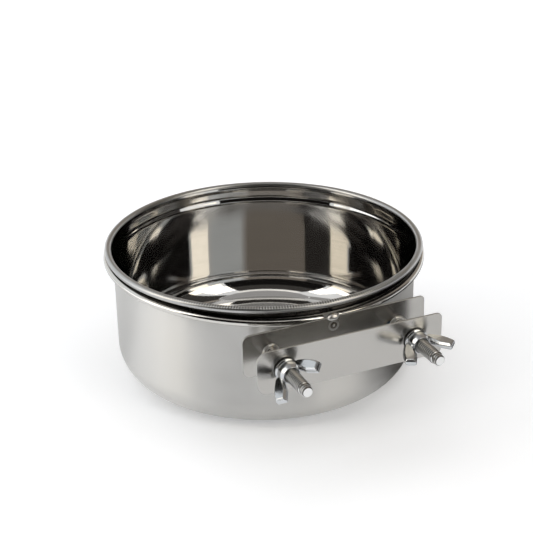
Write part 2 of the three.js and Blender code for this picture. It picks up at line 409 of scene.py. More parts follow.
def mottled(tree, pattern, rough, depth=0):
    """A surface that a pattern makes unevenly rough and, where it has a depth, dented."""
    # Most of a noise lies between 0.3 and 0.7
    uneven = add_node(tree, "MapRange", {0: pattern, 1: 0.3, 2: 0.7, 3: rough[0], 4: rough[1]})
    if depth:
        dents = add_node(tree, "Bump", {"Distance": depth, "Height": pattern})
        return {"Roughness": uneven, "Normal": dents}
    return {"Roughness": uneven}


def plain_finish(name, paint, patch, rough, detail=3.0, depth=0, metallic=1.0):
    """A finish of one colour, with spots of one size in its roughness."""
    material, tree, place, colours = new_finish(name)
    inputs = {"Base Color": (*getattr(colours, paint), 1), "Metallic": metallic}
    spots = add_node(tree, "TexNoise", {"Vector": place, "Scale": 1 / patch, "Detail": detail})
    inputs.update(mottled(tree, spots, rough, depth))
    return bare_metal(material, tree, inputs)


def buffed_round(tree, place):
    """Buffing runs round the bowl's axis, so it blurs a reflection up and down the most."""
    along = add_node(tree, "VectorMath", {0: (0, 0, 1), 1: place}, operation="CROSS_PRODUCT")
    return {"Anisotropic": 0.9, "Anisotropic Rotation": 0.25, "Tangent": along}


def round_place(tree, place):
    """Radius, angle and height about the bowl's axis, from Object coordinates."""
    axes = add_node(tree, "SeparateXYZ", {0: place}).outputs
    flat = add_node(tree, "CombineXYZ", {"X": axes["X"], "Y": axes["Y"]})
    radius = add_node(tree, "VectorMath", {0: flat}, operation="LENGTH").outputs["Value"]
    around = add_node(tree, "Math", {0: axes["X"], 1: axes["Y"]}, operation="ARCTAN2")
    return radius, around, axes["Z"]


def streaks(tree, place, x, y, z):
    """Spots that are drawn out to lines, because each axis has a size of its own in metres."""
    scale = (1 / x, 1 / y, 1 / z)
    drawn_out = add_node(tree, "Mapping", {"Vector": place, "Scale": scale})
    return add_node(tree, "TexNoise", {"Vector": drawn_out, "Scale": 1.0, "Detail": 3.0})


def spun_lines(tree, place, spacing):
    """Lines that run about two thirds of a radian round the axis, spacing metres apart."""
    radius, around, height = round_place(tree, place)
    across = add_node(tree, "CombineXYZ", {"X": radius, "Y": around, "Z": height})
    return streaks(tree, across, spacing, 1 / 1.5, spacing)


def polished_stainless():
    """Deep-drawn stainless sheet, buffed to a mirror: clear reflections that waver a little."""
    material, tree, place, colours = new_finish("mirror_buffed_stainless")
    # Drawn sheet is never quite true: swells about 30 mm long, a few hundredths of a mm deep
    swells = add_node(tree, "TexNoise", {"Vector": place, "Scale": 1 / 0.0294, "Detail": 0.0})
    # Buffing lines are a few hundredths of a millimetre apart, drawn at 1.4 mm to show
    lines = spun_lines(tree, place, 0.0014)
    duller = [c * 0.95 for c in colours.polished]
    shade = add_node(tree, "ValToRGB", {0: lines}, [(0.35, duller), (0.6, colours.polished)])
    # The wheel leaves patches about 17 mm across, some a little duller than others
    cloud = add_node(tree, "TexNoise", {"Vector": place, "Scale": 1 / 0.0167, "Detail": 4.0})
    inputs = mottled(tree, cloud, (0.045, 0.08))
    inputs["Normal"] = add_node(tree, "Bump", {"Distance": 0.00004, "Height": swells})
    inputs["Base Color"] = shade
    return bare_metal(material, tree, inputs | buffed_round(tree, place))


def rolled_rim():
    """The rolled rim: duller than the sheet inside, with the rolling tool's small ripples."""
    sizes = bpy.context.scene.bowl_sizes
    material, tree, place, colours = new_finish("rolled_rim_stainless")
    radius, around = round_place(tree, place)[:2]
    turns = add_node(tree, "Math", {0: around, 1: float(sizes.ripples)}, operation="MULTIPLY")
    ripple = add_node(tree, "Math", {0: turns}, operation="SINE")
    # The ripples lie across the top of the bead, are deepest at the clamp and come in patches
    top = sizes.wall_radius + sizes.collar_step + sizes.bead_radius
    inside = add_node(tree, "MapRange", {0: radius, 1: top + 0.0005, 2: top + 0.0012, 3: 1, 4: 0})
    off_back = add_node(tree, "Math", {0: around}, operation="ABSOLUTE")
    near, full = radians(110), radians(155)
    at_clamp = add_node(tree, "MapRange", {0: off_back, 1: near, 2: full, 3: 0.02, 4: 1})
    patches = add_node(tree, "TexNoise", {"Vector": place, "Scale": 1 / 0.00833, "Detail": 1.0})
    patchy = add_node(tree, "MapRange", {0: patches, 1: 0.4, 2: 0.6, 3: 0.3, 4: 1})
    for share in (inside, at_clamp, patchy):
        ripple = add_node(tree, "Math", {0: ripple, 1: share}, operation="MULTIPLY")
    # Painted shade: the ripples' troughs are darkened to three tenths of the rim's colour
    troughs = add_node(tree, "MapRange", {0: ripple, 1: -0.6, 2: 0.1, 3: 1, 4: 0})
    trough_shade = [c * 0.3 for c in colours.rim]
    cloud = add_node(tree, "TexNoise", {"Vector": place, "Scale": 1 / 0.00667, "Detail": 3.0})
    inputs = mottled(tree, cloud, (0.28, 0.34))
    inputs["Normal"] = add_node(tree, "Bump", {"Distance": 0.00012, "Height": ripple})
    inputs["Base Color"] = add_node(
        tree, "ValToRGB", {0: troughs}, [(0, colours.rim), (1, trough_shade)]
    )
    return bare_metal(material, tree, inputs)


def satin_stainless():
    """The same sheet outside, brushed to a satin: reflections are only soft patches."""
    material, tree, place, colours = new_finish("satin_brushed_stainless")
    swells = add_node(tree, "TexNoise", {"Vector": place, "Scale": 1 / 0.0333, "Detail": 1.0})
    waver = add_node(tree, "Bump", {"Distance": 0.00003, "Height": swells})
    # Brush lines are about 0.05 mm apart, drawn at 0.6 mm to show
    lines = spun_lines(tree, place, 0.0006)
    brushed = {"Distance": 0.000002, "Height": lines, "Normal": waver}
    cloud = add_node(tree, "TexNoise", {"Vector": place, "Scale": 1 / 0.02, "Detail": 3.0})
    inputs = mottled(tree, cloud, (0.36, 0.42))
    inputs["Normal"] = add_node(tree, "Bump", brushed)
    inputs["Base Color"] = (*colours.satin, 1)
    return bare_metal(material, tree, inputs | buffed_round(tree, place))


def shade_below_rim():
    """The band under the rim, painted dark as shade under the bead."""
    return plain_finish("shade_below_rim", "under_rim_shade", 0.005, (0.2, 0.3))


def bright_wire():
    """Drawn stainless wire, bright, with die lines along it, drawn at 0.5 mm to show."""
    material, tree, place, colours = new_finish("bright_drawn_wire")
    inputs = mottled(tree, spun_lines(tree, place, 0.0005), (0.1, 0.2), 0.00001)
    return bare_metal(material, tree, {"Base Color": (*colours.wire, 1), **inputs})


def rolled_strip(name="cold_rolled_strip", tinted=False):
    """Cold-rolled stainless strip: nearly a mirror, blurred along the rolling lines."""
    material, tree, place, colours = new_finish(name)
    swells = add_node(tree, "TexNoise", {"Vector": place, "Scale": 1 / 0.0167, "Detail": 1.0})
    waver = add_node(tree, "Bump", {"Distance": 0.00004, "Height": swells})
    # Rolling lines run along the strip, drawn at 0.4 mm to show
    lines = streaks(tree, place, 0.025, 0.0004, 0.0004)
    rolled = {"Distance": 0.000006, "Height": lines, "Normal": waver}
    cloud = add_node(tree, "TexNoise", {"Vector": place, "Scale": 1 / 0.00833, "Detail": 4.0})
    inputs = mottled(tree, cloud, (0.18, 0.26))
    inputs["Normal"] = add_node(tree, "Bump", rolled)
    inputs["Base Color"] = heat_tint(tree, place) if tinted else (*colours.strip, 1)
    return bare_metal(material, tree, inputs)


def heat_tint(tree, place):
    """Heat tint beside the right bolt's weld: blue in the middle, straw at its edge."""
    bolts = bpy.context.scene.bolt_sizes
    colours = bpy.context.scene.bowl_colours
    middle = (bolts.spacing - 0.0046, REAR_BOX[0].y, bolts.height + 0.0012)
    away = add_node(tree, "VectorMath", {0: place, 1: middle}, operation="DISTANCE")
    # Noise draws its edge in by up to 2 mm
    ragged = add_node(tree, "TexNoise", {"Vector": place, "Scale": 1 / 0.00333, "Detail": 2.0})
    added = {0: ragged, 1: 0.002, 2: away.outputs["Value"]}
    uneven = add_node(tree, "Math", added, operation="MULTIPLY_ADD")
    share = add_node(tree, "MapRange", {0: uneven, 1: 0.002, 2: 0.0042, 3: 0, 4: 1})
    tints = [(0, colours.blue), (1, colours.strip), (0.6, colours.straw)]
    return add_node(tree, "ValToRGB", {0: share}, tints)


def sheared_edge():
    """The strips' edges, sheared and knocked over: bright and rough."""
    return plain_finish("sheared_strip_edge", "edge", 0.00143, (0.35, 0.55))


def rolled_thread():
    """Bright bolt steel with a rolled thread, rubbed by the nuts."""
    rough = (0.28, 0.33)
    return plain_finish("bright_rolled_thread", "thread", 0.00111, rough, depth=0.00002)


def thread_root():
    """The bottom of the thread, painted dark as shade in its grooves."""
    return plain_finish("thread_root_shade", "root", 0.00111, (0.32, 0.42))


def seat_shade_finish():
    """Painted shade: a black ring round the seat of a nut."""
    return plain_finish("black_seat_shade", "painted_shade", 0.00143, (0.4, 0.6), detail=2.0, metallic=0.0)


def tumbled_casting():
    """Cast steel, tumbled and plated bright, with soft edges and small pits."""
    rough = (0.12, 0.24)
    return plain_finish("tumbled_bright_casting", "casting", 0.00238, rough, 4.0, 0.00006)


def weld_metal():
    """Bare weld metal, frozen in waves of about 2 mm: pale, with straw-coloured hollows."""
    material, tree, place, colours = new_finish("bare_weld_metal")
    waves = add_node(tree, "TexNoise", {"Vector": place, "Scale": 1 / 0.002, "Detail": 3.0})
    inputs = mottled(tree, waves, (0.3, 0.42), 0.00002)
    inputs["Base Color"] = add_node(
        tree, "ValToRGB", {0: waves}, [(0.3, colours.straw), (0.44, colours.weld)]
    )
    return bare_metal(material, tree, inputs)


def burnt_weld():
    """The burnt ring that the electrode leaves round its pip."""
    return plain_finish("burnt_weld_ring", "burnt", 0.00111, (0.3, 0.5))


# Pieces


def trace_sheet(bm, sizes, bead_z, collar_z):
    """The sheet's section: along the outside, round the bead and back along the inside."""
    wall = sizes.wall_radius
    collar = wall + sizes.collar_step
    bead = collar + sizes.bead_radius - sizes.bead_lap
    corner = wall - sizes.corner_radius
    corner_z = sizes.foot_step + sizes.corner_radius
    slope_z = collar_z - sizes.collar_run
    step_out = corner - sizes.foot_inset
    step_in = step_out - sizes.foot_run
    meet = degrees(acos(sizes.bead_lap / sizes.bead_radius - 1))
    start = radians(-meet)
    lip = sizes.bead_radius
    curl = (bead + lip * cos(start), bead_z + lip * sin(start))
    inside, inside_collar = wall - sizes.sheet, collar - sizes.sheet
    foot_z = sizes.foot_step

    base = trace(bm, [(0, 0), (step_in, 0), (step_out, foot_z), (corner, foot_z)])
    bend = trace_arc(bm, base[-1], corner, corner_z, 90, 20)
    outer = trace(bm, [(wall, slope_z), (collar, collar_z), curl], bend)
    bend = trace_arc(bm, outer[-1], bead, bead_z, meet + 180, 28)
    slope = [(inside_collar, bead_z - lip), (inside_collar, collar_z), (inside, slope_z)]
    inner = trace(bm, slope + [(inside, corner_z)], bend)
    bend = trace_arc(bm, inner[-1], corner, corner_z, -90, 20)
    step = [(step_out + sizes.foot_ease, foot_z + sizes.sheet)]
    step.append((step_in - sizes.foot_ease, sizes.sheet))
    floor = trace(bm, step + [(0, sizes.sheet)], bend)
    bevel(bm, base[1:3] + floor[:2], sizes.foot_soften, 4, "VERTICES")
    bevel(bm, outer[:2] + inner[:3], sizes.collar_soften, 6, "VERTICES")


def sort_faces(bm, sizes, bead_z, collar_z):
    """Polished inside; outside, satin, then painted shade from the collar to the bead; then the
    rim.
    """
    satin, under_rim_shade, rim = 1, 2, 3
    below_bead = bead_z - sizes.bead_radius
    for face in bm.faces:
        middle = face.calc_center_median()
        outward = face.normal.dot(Vector((middle.x, middle.y, 0)).normalized())
        outside = outward > 0.2 or face.normal.z < -0.2
        if middle.z > bead_z - 0.0002 or (outside and middle.z > below_bead + 0.0006):
            face.material_index = rim
        elif outside and middle.z < collar_z + sizes.collar_soften:
            face.material_index = satin
        elif outside:
            face.material_index = under_rim_shade


class BOWL_OT_bowl(Operator):
    """Build the bowl: one drawn sheet with a rolled rim"""

    bl_idname = "bowl.bowl"
    bl_label = "Bowl"

    def execute(self, context):
        sizes = context.scene.bowl_sizes
        bead_z = sizes.height - sizes.bead_radius
        collar_z = bead_z - sizes.collar_height
        bm = bmesh.new()
        trace_sheet(bm, sizes, bead_z, collar_z)
        lathe(bm, sizes.segments)
        sort_faces(bm, sizes, bead_z, collar_z)
        finishes = [polished_stainless(), satin_stainless(), shade_below_rim(), rolled_rim()]
        piece = make_piece(bm, "drawn_bowl", "bowl", ["bowl"], finishes, sharp=50)
        keep_flats(piece)
        return {"FINISHED"}


def round_end(bm, sizes, at, outward):
    """Closes one open end of the wire with a low dome."""
    across, along = cos(at), sin(at)
    middle = Vector((sizes.radius * along, -sizes.radius * across, sizes.height))
    out = Vector((across, along, 0)) * outward
    reach = sizes.wire_radius * 1.5
    rim = [
        edge
        for edge in bm.edges
        if edge.is_boundary and all((v.co - middle).length < reach for v in edge.verts)
    ]
    # Each ring of the dome: how far beyond the last it stands and its size, in wire radii
    for rise, shrink in ((0.16, 0.96), (0.16, 0.86), (0.12, 0.66), (0.06, 0.4)):
        made = bmesh.ops.extrude_edge_only(bm, edges=rim)["geom"]
        rim = only(BMEdge, made)
        verts = only(BMVert, made)
        bmesh.ops.translate(bm, verts=verts, vec=out * rise * sizes.wire_radius)
        centre = sum((vert.co for vert in verts), Vector()) / len(verts)
        for vert in verts:
            vert.co = centre + (vert.co - centre).normalized() * sizes.wire_radius * shrink
    bmesh.ops.edgeloop_fill(bm, edges=rim)


def build_hoop_weld(sizes):
    """A frozen drop of weld metal between the wire's ends, which laps over the strip."""
    bm = bmesh.new()
    bmesh.ops.create_icosphere(bm, subdivisions=5, radius=0.5)
    size = Vector((sizes.weld_length, sizes.weld_depth, sizes.weld_height))
    bmesh.ops.scale(bm, verts=bm.verts, vec=size)
    middle = Vector((-sizes.weld_shift, REAR_BOX[0].y + SUNK, REAR_BOX[1].z - 0.0008))
    # It sways by a tenth of a millimetre and its right end runs up along the wire
    for vert in bm.verts:
        sway = noise.noise(vert.co * 700) * 0.0001 + noise.noise(vert.co * 1900) * 0.00003
        vert.co += vert.co.normalized() * sway
        vert.co.z += vert.co.x * 0.12
    bmesh.ops.translate(bm, verts=bm.verts, vec=middle)
    tidy(bm)
    metal = [weld_metal()]
    make_piece(bm, "hoop_weld", "bracket", ["ring_weld"], metal, sharp=80)


class BOWL_OT_hoop(Operator):
    """Build the wire hoop and the weld that closes it"""

    bl_idname = "bowl.hoop"
    bl_label = "Hoop and its weld"

    def execute(self, context):
        sizes = context.scene.hoop_sizes
        half = asin(sizes.opening / 2 / sizes.radius)
        shift = asin(sizes.opening_shift / sizes.radius)
        bm = bmesh.new()
        section = bmesh.ops.create_circle(bm, segments=24, radius=sizes.wire_radius)["verts"]
        turn(bm, pi / 2, "Y")
        bmesh.ops.translate(bm, verts=section, vec=(0, -sizes.radius, sizes.height))
        turn(bm, half - shift, "Z")
        spin(bm, 2 * pi - 2 * half, 240)
        for at, outward in ((half - shift, -1), (-half - shift, 1)):
            round_end(bm, sizes, at, outward)
        for vert in bm.verts:
            from_front = atan2(vert.co.x, -vert.co.y)
            share = ((1 + cos(from_front)) / 2) ** sizes.dip_sharpness
            vert.co.z -= sizes.dip * share
        tidy(bm)
        wire = [bright_wire()]
        make_piece(bm, "wire_hoop", "bracket", ["holder_ring"], wire, sharp=60)
        build_hoop_weld(sizes)
        return {"FINISHED"}


def outline_strip(context, sizes, back, top, lean, corners):
    """The strip's outline and its two holes, as edges in the plane of its back."""
    bolts = context.scene.bolt_sizes
    bm = bmesh.new()
    made = bmesh.ops.create_grid(bm, x_segments=1, y_segments=1, size=0.5)["verts"]
    bmesh.ops.scale(bm, verts=made, vec=(sizes.length, sizes.height, 1))
    turn(bm, pi / 2, "X")
    bmesh.ops.translate(bm, verts=made, vec=(0, back, top - sizes.height / 2))
    for radius, side in zip(corners, (-1, 1)):
        ends = [vert for vert in made if vert.is_valid and vert.co.x * side > 0]
        bevel(bm, ends, radius, 10, "VERTICES")
    turn(bm, -lean, "Y", centre=(0, back, top))
    bmesh.ops.delete(bm, geom=bm.faces[:], context="FACES_ONLY")
    for side in (-1, 1):
        hole = bmesh.ops.create_circle(bm, segments=48, radius=sizes.hole_radius)["verts"]
        turn(bm, pi / 2, "X", hole)
        bmesh.ops.translate(bm, verts=hole, vec=(side * bolts.spacing, back, bolts.height))
    return bm


def build_spot(sizes):
    """The electrode's print: a pale dish, a burnt ring and a small raised pip."""
    # Each row is a share of the print's radius and a height in metres
    rows = [(0, 0.0003), (0.17, 0.00024), (0.22, 0.0001), (0.28, 0.00003)]
    rows += [(0.6, 0.00003), (0.7, 0.00005), (0.86, 0.00004), (1, -0.00002)]
    bm = turned([(sizes.spot_radius * share, height) for share, height in rows], 48)
    for face in bm.faces:
        away = face.calc_center_median().xy.length / sizes.spot_radius
        face.material_index = 1 if 0.24 < away < 0.6 else 0
    stand_at_bolt(bm, sizes.spot_x, REAR_BOX[0].y, sizes.spot_z)
    finishes = [sheared_edge(), burnt_weld()]
    make_piece(bm, "spot_weld_print", "bracket", [], finishes, sharp=80)


class BOWL_OT_strips(Operator):
    """Build the two clamp strips and the mark of the spot weld"""

    bl_idname = "bowl.strips"
    bl_label = "Clamp strips"

    def execute(self, context):
        sizes = context.scene.clamp_sizes
        rear = (REAR_BOX[1].y, sizes.rear_top, sizes.rear_lean)
        front = (FRONT_BOX[1].y, sizes.front_top, sizes.front_lean)
        rear_corners = (sizes.rear_left_corner, sizes.rear_right_corner)
        front_corners = (sizes.front_left_corner, sizes.front_right_corner)
        for name, body, node, place, corners, flat in (
            ("rear", "bracket", "rear_plate", rear, rear_corners, ("heat_tinted_strip", True)),
            ("front", "clamp", "front_plate", front, front_corners, ()),
        ):
            bm = outline_strip(context, sizes, *place, corners)
            bmesh.ops.triangle_fill(bm, use_beauty=True, use_dissolve=False, edges=bm.edges)
            thicken(bm, -sizes.thickness)
            rims = [edge for edge in bm.edges if edge.calc_face_angle(0) > radians(60)]
            bevel(bm, rims, sizes.edge_rounding, 3)
            for face in bm.faces:
                face.material_index = 0 if abs(face.normal.y) > 0.98 else 1
            finishes = [rolled_strip(*flat), sheared_edge()]
            keep_flats(
                make_piece(bm, f"{name}_strip", body, [node], finishes, sharp=40)
            )
        build_spot(sizes)
        return {"FINISHED"}


def cut_thread(sizes):
    """A rolled thread with a plain nose; its crests are drawn broader than real, to show."""
    bm = bmesh.new()
    root, crest = sizes.root_radius, sizes.radius
    shoulder = crest - 0.00005
    # The thread's section over one pitch is symmetric, and starts two pitches behind the head
    section = [(root, 0), (root, 0.1), (shoulder, 0.33), (crest, 0.4)]
    section += [(radius, 1 - share) for radius, share in reversed(section)]
    trace(bm, [(radius, (share - 2) * sizes.pitch) for radius, share in section])
    turns = ceil(sizes.length / sizes.pitch) + 3
    rise = (0, 0, sizes.pitch / sizes.turn_steps)
    spin(bm, 2 * pi * turns, sizes.turn_steps * turns, dvec=rise)
    bmesh.ops.remove_doubles(bm, verts=bm.verts, dist=8e-6)
    for height, up in ((0, False), (sizes.length, True)):
        bmesh.ops.bisect_plane(
            bm,
            geom=bm.verts[:] + bm.edges[:] + bm.faces[:],
            dist=1e-7,
            plane_co=(0, 0, height),
            plane_no=(0, 0, 1),
            clear_outer=up,
            clear_inner=not up,
        )
        level = [edge for edge in bm.edges if abs(edge.verts[0].co.z - height) < 1e-6]
        bmesh.ops.contextual_create(bm, geom=[edge for edge in level if edge.is_boundary])
    bm.normal_update()
    # Faces deeper than 0.2 mm take the root's colour: painted shade in the grooves
    for face in bm.faces:
        depth = crest - face.calc_center_median().xy.length
        face.material_index = 1 if depth > 0.0002 and abs(face.normal.z) < 0.97 else 0
    # The thread runs out over a millimetre, down to the plain nose
    for vert in bm.verts:
        from_tip = sizes.length - vert.co.z
        if from_tip < sizes.nose_length + 0.001:
            limit = sizes.nose_radius + max(0, from_tip - sizes.nose_length)
            limit = min(limit, sizes.nose_radius - sizes.nose_chamfer + from_tip)
            here = vert.co.xy.length
            if here > limit:
                vert.co.xy *= limit / here
    tidy(bm)
    return bm


def dome_head(sizes):
    """The low domed head, behind the rear strip."""
    bm = bmesh.new()
    rise = sizes.head_height - sizes.head_rim
    dome = (sizes.head_radius**2 + rise**2) / (2 * rise)
    reach = degrees(asin(sizes.head_radius / dome))
    top = trace(bm, [(0, -sizes.head_height)])[0]
    edge = trace_arc(bm, top, 0, dome - sizes.head_height, reach, 10)
    trace(bm, [(sizes.head_radius, 0), (0, 0)], edge)
    lathe(bm, 48)
    return bm


def build_bolt_weld(sizes, side, name):
    """The raised collar of weld where the bolt leaves the rear strip."""
    inner = sizes.root_radius + 0.0002
    outer = sizes.radius + 0.0003 + sizes.weld_width
    section = [
        (outer, -SUNK),
        (outer, 0.0001),
        (outer - sizes.weld_width * 0.25, sizes.weld_height * 0.55),
        (outer - sizes.weld_width * 0.7, sizes.weld_height * 0.9),
        (inner + 0.0003, sizes.weld_height),
        (inner, sizes.weld_height - 0.0003),
        (inner, -SUNK),
    ]
    bm = turned(section + section[:1], 64)
    # Lumps of about 2 mm, other ones at each bolt
    for vert in bm.verts:
        lumps = noise.noise((vert.co + Vector((side, 0, 0))) * 600) * 0.0003
        out = Vector((vert.co.x, vert.co.y, 0)).normalized()
        if vert.co.z > 0.00005 and vert.co.xy.length > sizes.radius:
            vert.co += out * lumps + Vector((0, 0, lumps * 0.8))
    stand_at_bolt(bm, side * sizes.spacing, REAR_BOX[0].y, sizes.height)
    metal = [weld_metal()]
    nodes = [f"{name}_bolt_weld"]
    make_piece(bm, f"{name}_bolt_collar", "bracket", nodes, metal, sharp=80)


class BOWL_OT_bolts(Operator):
    """Build the threaded bolts and the welds that hold them in the rear strip"""

    bl_idname = "bowl.bolts"
    bl_label = "Bolts and their welds"

    def execute(self, context):
        sizes = context.scene.bolt_sizes
        for side, name in ((-1, "left"), (1, "right")):
            foot = LEFT_BOLT_BOX[1].y - sizes.head_height
            shapes = ((cut_thread(sizes), "thread"), (dome_head(sizes), "head"))
            for bm, kind in shapes:
                stand_at_bolt(bm, side * sizes.spacing, foot, sizes.height)
                steel = [rolled_thread(), thread_root()]
                nodes = [f"{name}_bolt"]
                make_piece(
                    bm, f"{name}_bolt_{kind}", "bracket", nodes, steel, sharp=45
                )
            build_bolt_weld(sizes, side, name)
        return {"FINISHED"}


def seat_shade_ring(sizes):
    """A dark ring under the flange: painted shade in the gap between nut and strip."""
    inner, outer = sizes.bore + 0.0004, sizes.bore + sizes.flange_wall
    section = [
        (inner, -SUNK),
        (outer - 0.0001, -SUNK),
        (outer, 0.0001),
        (outer - 0.0003, 0.0004),
        (inner, 0.0004),
    ]
    return turned(section + section[:1], 64)


def add_hub(bm, sizes):
    """The flange, neck and bored hub, spun as one closed ring."""
    flange, neck, hub = sizes.flange_wall, sizes.neck_wall, sizes.hub_wall
    # Each row is beyond the bore and off the strip, with a chamfer at each end of the bore
    rows = [
        (0, 0.0004),
        (0.0004, 0),
        (flange - 0.0008, 0),
        (flange, 0.0006),
        (flange, sizes.flange_height),
        (neck + 0.0001, sizes.flange_height + 0.0005),
        (neck + 0.0004, sizes.neck_height),
        (neck + 0.0001, sizes.hub_height - 0.0018),
        (hub - 0.0004, sizes.hub_height),
        (0.0003, sizes.hub_height),
        (0, sizes.hub_height - 0.0003),
    ]
    section = [(sizes.bore + wall, height) for wall, height in rows + rows[:1]]
    join(bm, turned(section, 72))


def add_wing(bm, sizes, half_turn):
    """One wing: its outline is extruded, then chamfered along its long edges."""
    half_wall = sizes.hub_wall / 2
    # Each row is beyond the bore and off the strip, from the hub round the wing's tip
    rows = [(half_wall, sizes.flange_height), (0.00345, 0.002), (0.0056, 0.0048)]
    rows += [(0.0075, 0.0080), (0.0086, 0.0108), (0.00925, 0.0134), (0.00555, 0.0168)]
    rows += [(0.00225, 0.0116), (half_wall, sizes.hub_height - 0.0008)]
    wing = bmesh.new()
    drawn = trace(wing, [(sizes.bore + beyond, height) for beyond, height in rows])
    wing.edges.new((drawn[-1], drawn[0]))
    bmesh.ops.contextual_create(wing, geom=wing.edges)
    bmesh.ops.translate(wing, verts=wing.verts, vec=(0, -sizes.wing_thickness / 2, 0))
    thicken(wing, sizes.wing_thickness)
    rims = [
        edge
        for edge in wing.edges
        if edge.calc_face_angle(0) > 1 and abs(edge.verts[0].co.y - edge.verts[1].co.y) < 1e-6
    ]
    bevel(wing, rims, sizes.wing_bevel, 1)
    turn(wing, half_turn, "Z")
    join(bm, wing)


def join(bm, other):
    """Adds another bmesh to this one."""
    mesh = bpy.data.meshes.new("joined")
    other.to_mesh(mesh)
    other.free()
    bm.from_mesh(mesh)
    bpy.data.meshes.remove(mesh)


class BOWL_OT_wing_nuts(Operator):
    """Build the two cast wing nuts"""

    bl_idname = "bowl.wing_nuts"
    bl_label = "Wing nuts"

    def execute(self, context):
        sizes = context.scene.nut_sizes
        bolts = context.scene.bolt_sizes
        for side, name, by in ((-1, "left", sizes.left_turn), (1, "right", sizes.right_turn)):
            place = (side * bolts.spacing, LEFT_NUT_BOX[1].y, bolts.height)
            bm = bmesh.new()
            add_hub(bm, sizes)
            for half_turn in (0, pi):
                add_wing(bm, sizes, half_turn)
            stand_at_bolt(bm, *place, by)
            body, nodes, cast = f"{name}_nut", [f"{name}_wing_nut"], [tumbled_casting()]
            nut = make_piece(bm, f"{name}_nut_casting", body, nodes, cast, sharp=180)
            melt = nut.modifiers.new("One casting", "REMESH")
            melt.mode = "VOXEL"
            melt.voxel_size = sizes.grain
            melt.use_smooth_shade = True
            soften = nut.modifiers.new("Tumbled edges", "SMOOTH")
            soften.factor = 0.5
            soften.iterations = 4
            # A ring of painted shade in the gap under the nut
            seat = seat_shade_ring(sizes)
            stand_at_bolt(seat, *place)
            make_piece(seat, f"{name}_nut_seat", body, [], [seat_shade_finish()])
        return {"FINISHED"}


def place_camera(context, sizes):
    """Stands the camera where the photograph was taken from."""
    data = bpy.data.cameras.new("camera")
    camera = bpy.data.objects.new("camera", data)
    context.scene.collection.objects.link(camera)
    context.scene.camera = camera
    data.sensor_width = 36
    data.lens = sizes.lens
    data.clip_start, data.clip_end = 0.01, 50
    level = cos(sizes.elevation)
    right = Vector((cos(sizes.azimuth), sin(sizes.azimuth), 0))
    back = Vector((right.y * level, -right.x * level, sin(sizes.elevation)))
    position = back * sizes.distance
    aim = right * sizes.aim_right + back.cross(right) * sizes.aim_up
    look = (aim - position).to_track_quat("-Z", "Y")
    camera.rotation_mode = "QUATERNION"
    camera.location = position
    camera.rotation_quaternion = look @ Quaternion((0, 0, 1), sizes.roll)


def lay_floor(sizes):
    """A pale table that runs out of view; it renders white but keeps the shadow."""
    material, tree = new_tree("matte_white_table")
    place = add_node(tree, "TexCoord").outputs["Object"]
    radius, around = round_place(tree, place)[:2]
    matte = add_node(tree, "BsdfDiffuse", {"Color": (*sizes.floor, 1)})
    # The further from the bowl, the nearer to plain white
    glow = add_node(tree, "MapRange", {0: radius, 1: 0.3, 2: 0.9, 3: 0.24, 4: 0.6})
    by_eye = lifted(tree, matte, WHITE, glow)
    # Painted shadow of the bowl: the metal sees the table dark on the right of the bowl, and a
    # little darker on the left
    near = add_node(tree, "MapRange", {0: radius, 1: 0.14, 2: 0.3, 3: 1, 4: 0})
    right = sector(tree, around, 102, 28, 52, 1)
    left = sector(tree, around, -43, 20, 34, 0.28)
    sides = add_node(tree, "Math", {0: right, 1: left}, operation="ADD")
    share = add_node(tree, "Math", {0: near, 1: sides}, operation="MULTIPLY")
    dimmed = add_node(tree, "ValToRGB", {0: share}, [(0, sizes.floor), (1, sizes.shade)])
    dim_matte = add_node(tree, "BsdfDiffuse", {"Color": dimmed})
    by_metal = lifted(tree, dim_matte, dimmed, 0.24)
    eye = add_node(tree, "LightPath").outputs["Is Camera Ray"]
    seen = add_node(tree, "MixShader", {0: eye, 1: by_metal, 2: by_eye})
    surface = add_node(tree, "MixShader", {0: direct_rays(tree), 1: matte, 2: seen})
    add_node(tree, "OutputMaterial", {"Surface": surface})
    bm = bmesh.new()
    bmesh.ops.create_circle(bm, cap_ends=True, segments=96, radius=sizes.floor_radius)
    new_object(bm, "table_top", [material])


def lifted(tree, matte, paint, strength):
    """A matte surface that also glows a little."""
    lift = add_node(tree, "Emission", {"Color": paint, "Strength": strength})
    return add_node(tree, "AddShader", {0: matte, 1: lift})


def sector(tree, around, middle, inner, outer, share):
    """A share that fades from full to none between two angles off a direction."""
    off = add_node(tree, "Math", {0: around, 1: radians(middle)}, operation="SUBTRACT")
    off = add_node(tree, "Math", {0: off}, operation="ABSOLUTE")
    start, end = radians(inner), radians(outer)
    return add_node(tree, "MapRange", {0: off, 1: start, 2: end, 3: share, 4: 0})


def light(context):
    """A white world, a little dimmer where it lights than where it is seen."""
    world = bpy.data.worlds.new("pale_surroundings")
    context.scene.world = world
    context.scene.view_settings.view_transform = "Standard"
    world.use_nodes = True
    tree = world.node_tree
    tree.nodes.clear()
    around = add_node(tree, "Background", {"Color": WHITE, "Strength": 0.8})
    behind = add_node(tree, "Background", {"Color": WHITE, "Strength": 1.0})
    both = add_node(tree, "MixShader", {0: direct_rays(tree), 1: around, 2: behind})
    add_node(tree, "OutputWorld", {"Surface": both})


def direct_rays(tree):
    """1 for a ray that shows this surface by itself, in a mirror or through glass."""
    seen = add_node(tree, "LightPath").outputs
    direct = seen["Is Camera Ray"]
    for other in ("Is Glossy Ray", "Is Transmission Ray"):
        direct = add_node(tree, "Math", {0: direct, 1: seen[other]}, operation="MAXIMUM")
    return direct


